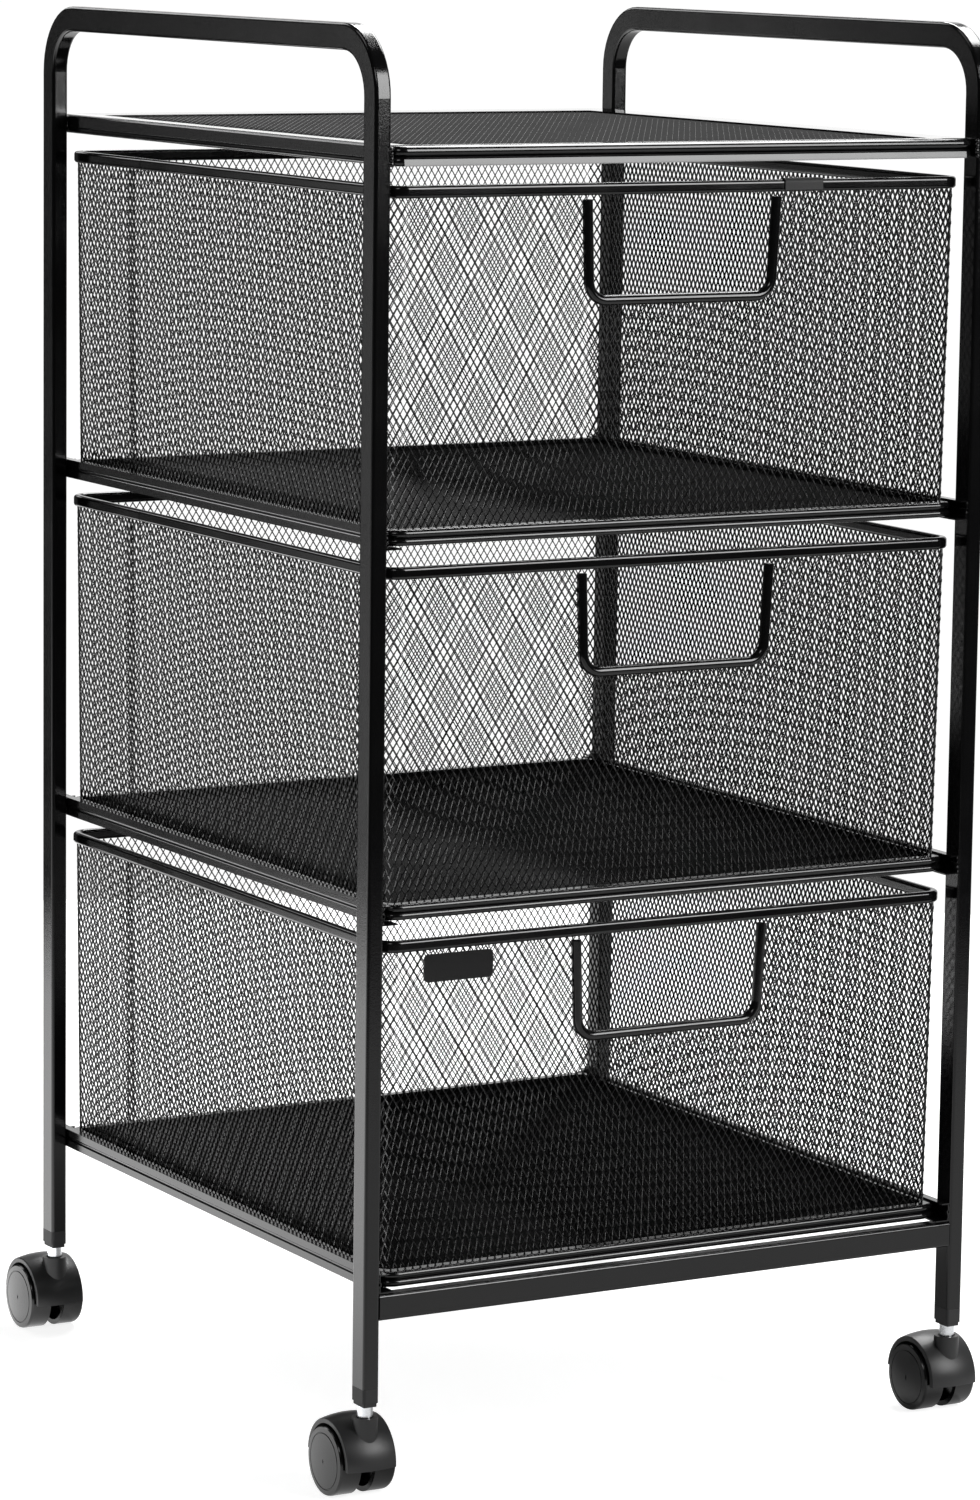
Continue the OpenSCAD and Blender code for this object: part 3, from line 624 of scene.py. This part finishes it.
def strip_shape(rows):
    """A solid strip between two outlines with as many points"""
    shape = bmesh.new()
    rows = [[shape.verts.new(point) for point in row] for row in rows]
    bridge(shape, *rows)
    for row in rows:
        shape.faces.new(row)
    return shape


def finish_piece(shape, name, material, body):
    """Turns a bmesh into a piece at the origin that rides on a body."""
    bmesh.ops.recalc_face_normals(shape, faces=shape.faces)
    mesh = bpy.data.meshes.new(name)
    shape.to_mesh(mesh)
    shape.free()
    mesh.materials.append(finish(material))
    made = bpy.data.objects.new(name, mesh)
    bpy.context.scene.collection.objects.link(made)
    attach(made, body)
    return made


# Pieces

class Drawer:
    """Where one drawer's walls, floor, top rim and handle are, read from the frame"""

    def __init__(self, level):
        self.level = level
        self.body = level + " drawer"
        self.rim_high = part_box(level + "_drawer_top_rim")[1]
        self.front_low, self.front_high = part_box(level + "_drawer_front_mesh")
        self.rear_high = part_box(level + "_drawer_rear_mesh")[1]
        self.handle_low, self.handle_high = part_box(level + "_drawer_handle")
        self.floor_low, self.floor_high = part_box(level + "_drawer_floor_mesh")


def drawer_node(drawer, part):
    """The name of one of the drawer's nodes"""
    return f"{drawer.level}_drawer_{part}"


class CART_OT_weave_drawers(bpy.types.Operator):
    """Weave the expanded metal of the drawers' walls and floors"""
    bl_idname = "cart.weave_drawers"
    bl_label = "Weave the drawers"

    def execute(self, context):
        for level in LEVELS:
            self.weave_drawer(Drawer(level), context.scene.cart_mesh)
        return {"FINISHED"}

    def weave_drawer(self, drawer, sizes):
        """The four walls, the seam and the floor"""
        low, high = drawer.front_low.z, drawer.front_high.z
        height = high - low
        rows = math.ceil((height + 2 * TUCK) / sizes.cell_height)
        grid = {
            "Rows": rows, "Cell Height": (height + 2 * TUCK) / rows, "Start": low - TUCK,
            "Lean": WALL_TAPER / height, "Lean Foot": high, "Tilt": sizes.strand_tilt,
            "Strand Thickness": sizes.strand_thickness, "Knuckle Length": sizes.knuckle_length}
        radius = CORNER_R - WALL_T / 2
        x = drawer.front_high.x
        y0 = drawer.front_low.y + CORNER_R
        y1 = drawer.rear_high.y - CORNER_R
        front, rear = y0 - radius, y1 + radius
        paths = {
            "front_mesh": [(-x, front), (x, front)],
            "right_mesh": arc((x, y0), radius, -90, 0) + arc((x, y1), radius, 0, 90),
            "rear_mesh": [(x, rear), (-x, rear)],
            "left_mesh": arc((-x, y1), radius, 90, 180) + arc((-x, y0), radius, 180, 270),
        }
        for part, flat_points in paths.items():
            points = [(px, py, 0) for px, py in flat_points]
            length = sum((Vector(b) - Vector(a)).length for a, b in zip(points, points[1:]))
            settings = {**grid, "Columns": round(length / sizes.cell_width),
                        "Strand Width": sizes.strand_width * WALL_WIDTHS[part]}
            if part == "front_mesh":
                settings.update(self.hand_opening(drawer, length / 2))
            net = weave(drawer_node(drawer, part) + "_net", points, "Coated strand", settings)
            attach(net, drawer.body)
            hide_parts(drawer_node(drawer, part))
        self.weave_seam(drawer, sizes, grid, radius, y0, y1)
        self.weave_floor(drawer, sizes)

    def hand_opening(self, drawer, middle):
        """The opening in the front net, along the middle of the handle's bent rod"""
        foot = drawer.handle_low.z + ROD_R
        flare = math.tan(math.radians(GRIP_LEAN))
        top_half = drawer.handle_high.x - ROD_R
        return {"Opening Middle": middle, "Opening Foot": foot,
                "Opening Half Width": top_half - (drawer.handle_high.z - foot) * flare,
                "Opening Flare": flare, "Opening Corner": OPENING_CORNER}

    def weave_seam(self, drawer, sizes, grid, radius, y0, y1):
        """The strip where the left wall's ends overlap, outside it and in step with its cells"""
        bend = math.pi / 2 * radius
        length = 2 * bend + y1 - y0
        width = length / round(length / sizes.cell_width)
        middle = bend + y1 - (drawer.rear_high.y - SEAM_BACK)
        first = round(middle / width - SEAM_CELLS / 2) * width
        x, y = -(drawer.front_high.x + radius + SEAM_GAP), y1 + bend - first
        points = [(x, y, 0), (x, y - SEAM_CELLS * width, 0)]
        settings = {**grid, "Columns": SEAM_CELLS, "Strand Width": sizes.strand_width * SEAM_WIDTH}
        net = weave(drawer_node(drawer, "left_seam"), points, "Coated strand", settings)
        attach(net, drawer.body)

    def weave_floor(self, drawer, sizes):
        """The floor's level net"""
        net = weave_level(drawer_node(drawer, "floor_net"), drawer.floor_low, drawer.floor_high,
                          sizes)
        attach(net, drawer.body)
        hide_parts(drawer_node(drawer, "floor_mesh"))


class CART_OT_weave_shelf(bpy.types.Operator):
    """Weave the expanded metal of the top shelf"""
    bl_idname = "cart.weave_shelf"
    bl_label = "Weave the shelf"

    def execute(self, context):
        net = weave_level("top_shelf_net", *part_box("top_shelf_mesh"), context.scene.cart_mesh,
                          SHELF_FINENESS)
        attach(net, "cart frame")
        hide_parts("top_shelf_mesh")
        return {"FINISHED"}


class CART_OT_trim_shelf(bpy.types.Operator):
    """Lay the plain border of the shelf's sheet and the flat bands of its rail"""
    bl_idname = "cart.trim_shelf"
    bl_label = "Trim the shelf"

    def execute(self, context):
        low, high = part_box("top_shelf_rim")
        self.add_border(low, high)
        for side, sign in zip(SIDES, (-1, 1)):
            self.add_side(side, sign, low, high)
        self.add_front(low)
        return {"FINISHED"}

    def add_border(self, low, high):
        """The ring of plain sheet round the mesh"""
        shape = bmesh.new()
        loops = [[shape.verts.new(point) for point in rounded_loop(low, high, inset, high.z + rise)]
                 for inset, rise in BORDER_PROFILE]
        for one, other in zip(loops, loops[1:] + loops[:1]):
            bridge(shape, one, other)
        finish_piece(shape, "top_shelf_border", "Coated sheet", "cart frame")

    def add_side(self, side, sign, low, high):
        """The flat outer side of the shelf's rail, between the legs"""
        face, back = sign * (high.x + BAND_PROUD), sign * (high.x - BAND_DEPTH)
        eased = face - sign * BAND_EASE
        outline = [(back, high.z - BAND_TOP[0]), (eased, high.z - BAND_TOP[0]),
                   (face, high.z - BAND_TOP[1]), (face, low.z + BAND_FOOT[1]),
                   (eased, low.z + BAND_FOOT[0]), (back, low.z + BAND_FOOT[0])]
        shape = strip_shape([[(x, y, z) for x, z in outline] for y in BAND_RUN])
        finish_piece(shape, f"top_shelf_{side}_face", "Powder coat", "cart frame")

    def add_front(self, low):
        """The broad, slightly bowed lower band of the rail's front"""
        middle = (low.y - LIP_PROUD + LIP_BOW, low.z - LIP_DROP)
        bow = arc(middle, LIP_BOW, *LIP_ANGLES, LIP_STEPS)
        back = low.y + BAND_DEPTH
        outline = bow + [(back, bow[-1][1]), (back, bow[0][1])]
        shape = strip_shape([[(x, y, z) for y, z in outline] for x in (-LIP_RUN, LIP_RUN)])
        finish_piece(shape, "top_shelf_front_face", "Coated rod", "cart frame")


class CART_OT_add_welds(bpy.types.Operator):
    """Run small weld beads down the joints of the rails and the front legs"""
    bl_idname = "cart.add_welds"
    bl_label = "Add the welds"

    def execute(self, context):
        draw = random.Random(WELD_SEED)
        shape = bmesh.new()
        for side, sign in zip(SIDES, (-1, 1)):
            leg = abs(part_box(side + "_side_frame")[0 if sign > 0 else 1].x)
            free = leg - max(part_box(level + "_drawer_base_rim")[1].x for level in LEVELS)
            slim = min(WELD_R, (free - WELD_CLEARANCE) / WELD_STRETCH)
            rails = [(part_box("top_shelf_rim"), WELD_R)]
            rails += [(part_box(f"{side}_{level}_runner"), slim) for level in RUNNERS]
            for rail, radius in rails:
                self.run_beads(shape, draw, sign, leg, rail, radius)
        for face in shape.faces:
            face.smooth = True
        finish_piece(shape, "weld_beads", "Coated rod", "cart frame")
        return {"FINISHED"}

    def run_beads(self, shape, draw, sign, leg, rail, radius):
        """One run of beads, of uneven place and size, down the front end of a rail"""
        low, high = rail
        count = round((high.z - low.z) / WELD_PITCH)
        for i in range(count):
            z = low.z + (i + 0.5) * (high.z - low.z) / count
            spot = Vector((sign * (leg - draw.uniform(0, WELD_OFFSET)),
                           low.y + draw.uniform(0, WELD_STAGGER), z))
            size = Matrix.Diagonal((draw.uniform(WELD_LEAST, WELD_STRETCH), WELD_FLATNESS,
                                    draw.uniform(WELD_LEAST, WELD_TALLEST), 1))
            bmesh.ops.create_icosphere(shape, subdivisions=2, radius=radius,
                                       matrix=Matrix.Translation(spot) @ size)


class CART_OT_add_rim_sleeve(bpy.types.Operator):
    """Fold the dull sleeve over the top drawer's front rim"""
    bl_idname = "cart.add_rim_sleeve"
    bl_label = "Add the rim sleeve"

    def execute(self, context):
        drawer = Drawer("top")
        middle = drawer.front_low.y + WALL_T / 2
        front, rear = middle - SLEEVE_HALF, middle + SLEEVE_HALF
        top, foot = drawer.rim_high.z + SLEEVE_PROUD, drawer.rim_high.z - SLEEVE_DROP
        outline = arc((front + SLEEVE_BEND, top - SLEEVE_BEND), SLEEVE_BEND, 180, 90, 6)
        outline += arc((rear - SLEEVE_BEND, top - SLEEVE_BEND), SLEEVE_BEND, 90, 0, 6)
        outline += [(rear, foot), (front, foot)]
        shape = strip_shape([[(x, y, z) for y, z in outline]
                             for x in (SLEEVE_LEFT, SLEEVE_LEFT + SLEEVE_LENGTH)])
        sharp = [edge for edge in shape.edges if edge.calc_face_angle(0) > SHARP]
        bmesh.ops.bevel(shape, geom=sharp, offset=SLEEVE_BEVEL, segments=2, affect="EDGES")
        finish_piece(shape, "top_drawer_rim_sleeve", "Matte plastic", drawer.body)
        return {"FINISHED"}


class CART_OT_coat_steel(bpy.types.Operator):
    """Coat the tubes, runners, rims and rods, and polish the bottom drawer's plate"""
    bl_idname = "cart.coat_steel"
    bl_label = "Coat the steel"

    def execute(self, context):
        for side in SIDES:
            dress(f"{side}_side_frame", "Powder coat")
            for level in RUNNERS:
                dress(f"{side}_{level}_runner", "Powder coat")
        dress("front_crossbar", "Powder coat")
        dress("top_shelf_rim", "Coated rod")
        for level in LEVELS:
            for part in ("top_rim", "base_rim", "handle"):
                dress(f"{level}_drawer_{part}", "Coated rod")
        dress("bottom_drawer_plate", "Polished plastic")
        return {"FINISHED"}


class CART_OT_dress_casters(bpy.types.Operator):
    """Give the casters and the leg plugs their plastic, and the stems and axles their zinc"""
    bl_idname = "cart.dress_casters"
    bl_label = "Dress the casters"

    def execute(self, context):
        for end in ENDS:
            for side in SIDES:
                corner = f"{end}_{side}_"
                dress(corner + "leg_plug", "Matte plastic")
                dress(corner + "hood", "Moulded plastic")
                dress(corner + "stem", "Bright zinc")
                dress(corner + "axle", "Bright zinc")
                for place in ("outer", "inner"):
                    dress(f"{corner}{place}_wheel", "Polished plastic")
        return {"FINISHED"}


# The stage

def camera_matrix(settings):
    """The camera's place and turn, from its azimuth, pitch and roll"""
    azimuth, pitch, roll = settings.azimuth, settings.pitch, settings.roll
    forward = Vector((-math.sin(azimuth) * math.cos(pitch),
                      math.cos(azimuth) * math.cos(pitch), math.sin(pitch)))
    level = Vector((math.cos(azimuth), math.sin(azimuth), 0))
    upward = level.cross(forward)
    right = level * math.cos(roll) + upward * math.sin(roll)
    up = upward * math.cos(roll) - level * math.sin(roll)
    turn = Matrix((right, up, -forward)).transposed()
    return Matrix.Translation(Vector(settings.camera_place)) @ turn.to_4x4()


class CART_OT_set_stage(bpy.types.Operator):
    """Set the camera, the floor and the studio light"""
    bl_idname = "cart.set_stage"
    bl_label = "Set the stage"

    def execute(self, context):
        settings = context.scene.cart_stage
        self.add_camera(context.scene, settings)
        self.add_floor()
        self.add_world(context.scene)
        self.add_lamps(settings)
        context.scene.view_settings.view_transform = "Standard"
        return {"FINISHED"}

    def add_camera(self, scene, settings):
        """A camera whose focal length is a share of the picture's height"""
        data = bpy.data.cameras.new("Studio camera")
        data.sensor_fit = "VERTICAL"
        data.sensor_height = SENSOR_HEIGHT
        data.lens = settings.focal_share * data.sensor_height
        data.clip_start, data.clip_end = CAMERA_RANGE
        camera = bpy.data.objects.new("Studio camera", data)
        scene.collection.objects.link(camera)
        camera.matrix_world = camera_matrix(settings)
        scene.camera = camera

    def add_floor(self):
        """A round floor, white for the camera, that glows in reflections with a painted pool of
        light and a painted shadow under the cart
        """
        mesh = bpy.data.meshes.new("Studio floor")
        shape = bmesh.new()
        bmesh.ops.create_circle(shape, cap_ends=True, segments=96, radius=FLOOR_RADIUS)
        shape.to_mesh(mesh)
        shape.free()
        floor = bpy.data.objects.new("Studio floor", mesh)
        bpy.context.scene.collection.objects.link(floor)
        material = bpy.data.materials.new("Pale floor")
        material.use_nodes = True
        tree = material.node_tree
        shader = tree.nodes["Principled BSDF"]
        set_inputs(shader, {"Base Color": (0.5, 0.5, 0.5, 1), "Roughness": 0.8,
                            "Specular IOR Level": 0.2, "Emission Color": (1, 1, 1, 1)})
        calc = Sums(tree)
        ray = add(tree, "ShaderNodeLightPath").outputs
        place = add(tree, "ShaderNodeTexCoord").outputs["Object"]
        # painted pool of light: the floor's glow in reflections fades with the distance from a spot
        # behind the cart
        away = add(tree, "ShaderNodeVectorMath", {0: place, 1: PAINTED_POOL}, operation="DISTANCE")
        painted_pool = ramp(tree, away.outputs["Value"], *PAINTED_POOL_REACH, *PAINTED_POOL_GLOW)
        # painted shadow: the floor's glow in reflections is dimmed under the cart
        across, along, _ = add(tree, "ShaderNodeSeparateXYZ", {0: place}).outputs
        beside = ramp(tree, calc("ABSOLUTE", across), *PAINTED_SHADOW_SIDE, *PAINTED_SHADOW_GLOW)
        before = ramp(tree, calc("ABSOLUTE", along), *PAINTED_SHADOW_END, *PAINTED_SHADOW_GLOW)
        # the floor glows only in reflections, as painted light: the painted pool, dimmed by the
        # painted shadow under the cart
        mirrored = calc("MAXIMUM", ray["Is Glossy Ray"], ray["Is Transmission Ray"])
        glow = calc("MULTIPLY", calc("MULTIPLY", mirrored, painted_pool), calc("MAXIMUM", beside, before))
        glow = calc("MULTIPLY_ADD", ray["Is Camera Ray"], FLOOR_WHITE, glow)
        tree.links.new(glow, shader.inputs["Emission Strength"])
        mesh.materials.append(material)

    def add_world(self, scene):
        """White for the camera, and for reflections a dim room with two white screens"""
        world = bpy.data.worlds.new("White studio")
        world.use_nodes = True
        tree = world.node_tree
        shader = tree.nodes["Background"]
        shader.inputs["Color"].default_value = (1, 1, 1, 1)
        calc = Sums(tree)
        direction = add(tree, "ShaderNodeTexCoord").outputs["Generated"]
        x, y, z = add(tree, "ShaderNodeSeparateXYZ", {0: direction}).outputs

        left = calc("MAXIMUM", ramp(tree, x, *LEFT_START), ramp(tree, z, *LEFT_APRON))
        for value, edge in ((x, LEFT_STOP), (z, LEFT_TOP), (z, LEFT_FOOT)):
            left = calc("MULTIPLY", left, ramp(tree, value, *edge))
        rear = calc("MULTIPLY", ramp(tree, x, *REAR_START), ramp(tree, z, *REAR_TOP))
        screens = calc("MAXIMUM", left, rear)
        studio = calc("MULTIPLY_ADD", screens, ramp(tree, y, *REAR_HALF), ROOM_GLOW)
        seen = add(tree, "ShaderNodeLightPath").outputs["Is Camera Ray"]
        tree.links.new(calc("MAXIMUM", seen, studio), shader.inputs["Strength"])
        scene.world = world

    def add_lamps(self, settings):
        """Softboxes that the camera doesn't see. At brightness 1, a panel is plain white."""
        for name, place, target, size, brightness in LAMPS:
            data = bpy.data.lights.new(name, "AREA")
            data.shape = "RECTANGLE"
            data.size, data.size_y = size
            data.energy = brightness * math.pi * size[0] * size[1] * settings.lamp_level
            lamp = bpy.data.objects.new(name, data)
            bpy.context.scene.collection.objects.link(lamp)
            lamp.location = place
            aim = Vector(target) - Vector(place)
            lamp.rotation_euler = aim.to_track_quat("-Z", "Y").to_euler()
            lamp.visible_camera = False


class CART_PT_panel(bpy.types.Panel):
    """Lists the cart's sizes, colours and operators"""
    bl_idname = "CART_PT_panel"
    bl_label = "Rolling drawer cart"
    bl_space_type = "VIEW_3D"
    bl_region_type = "UI"
    bl_category = "Cart"

    def draw(self, context):
        for name in SETTINGS:
            settings = getattr(context.scene, name)
            box = self.layout.box()
            for label in settings.__annotations__:
                box.prop(settings, label)
        for operator in OPERATORS:
            self.layout.operator(operator.bl_idname)


SETTINGS = {"cart_mesh": MeshSizes, "cart_finish": FinishColours, "cart_stage": StageSettings}
OPERATORS = (CART_OT_coat_steel, CART_OT_weave_drawers, CART_OT_weave_shelf, CART_OT_trim_shelf,
             CART_OT_add_welds, CART_OT_add_rim_sleeve, CART_OT_dress_casters, CART_OT_set_stage)
CLASSES = (*SETTINGS.values(), *OPERATORS, CART_PT_panel)


def register():
    for kind in CLASSES:
        bpy.utils.register_class(kind)
    for name, kind in SETTINGS.items():
        setattr(bpy.types.Scene, name, bpy.props.PointerProperty(type=kind))


def unregister():
    for name in SETTINGS:
        delattr(bpy.types.Scene, name)
    for kind in reversed(CLASSES):
        bpy.utils.unregister_class(kind)


def main():
    register()
    bpy.ops.cart.set_stage()
    bpy.ops.cart.coat_steel()
    bpy.ops.cart.weave_drawers()
    bpy.ops.cart.weave_shelf()
    bpy.ops.cart.trim_shelf()
    bpy.ops.cart.add_welds()
    bpy.ops.cart.add_rim_sleeve()
    bpy.ops.cart.dress_casters()
    bpy.context.view_layer.update()


if __name__ == "__main__":
    main()
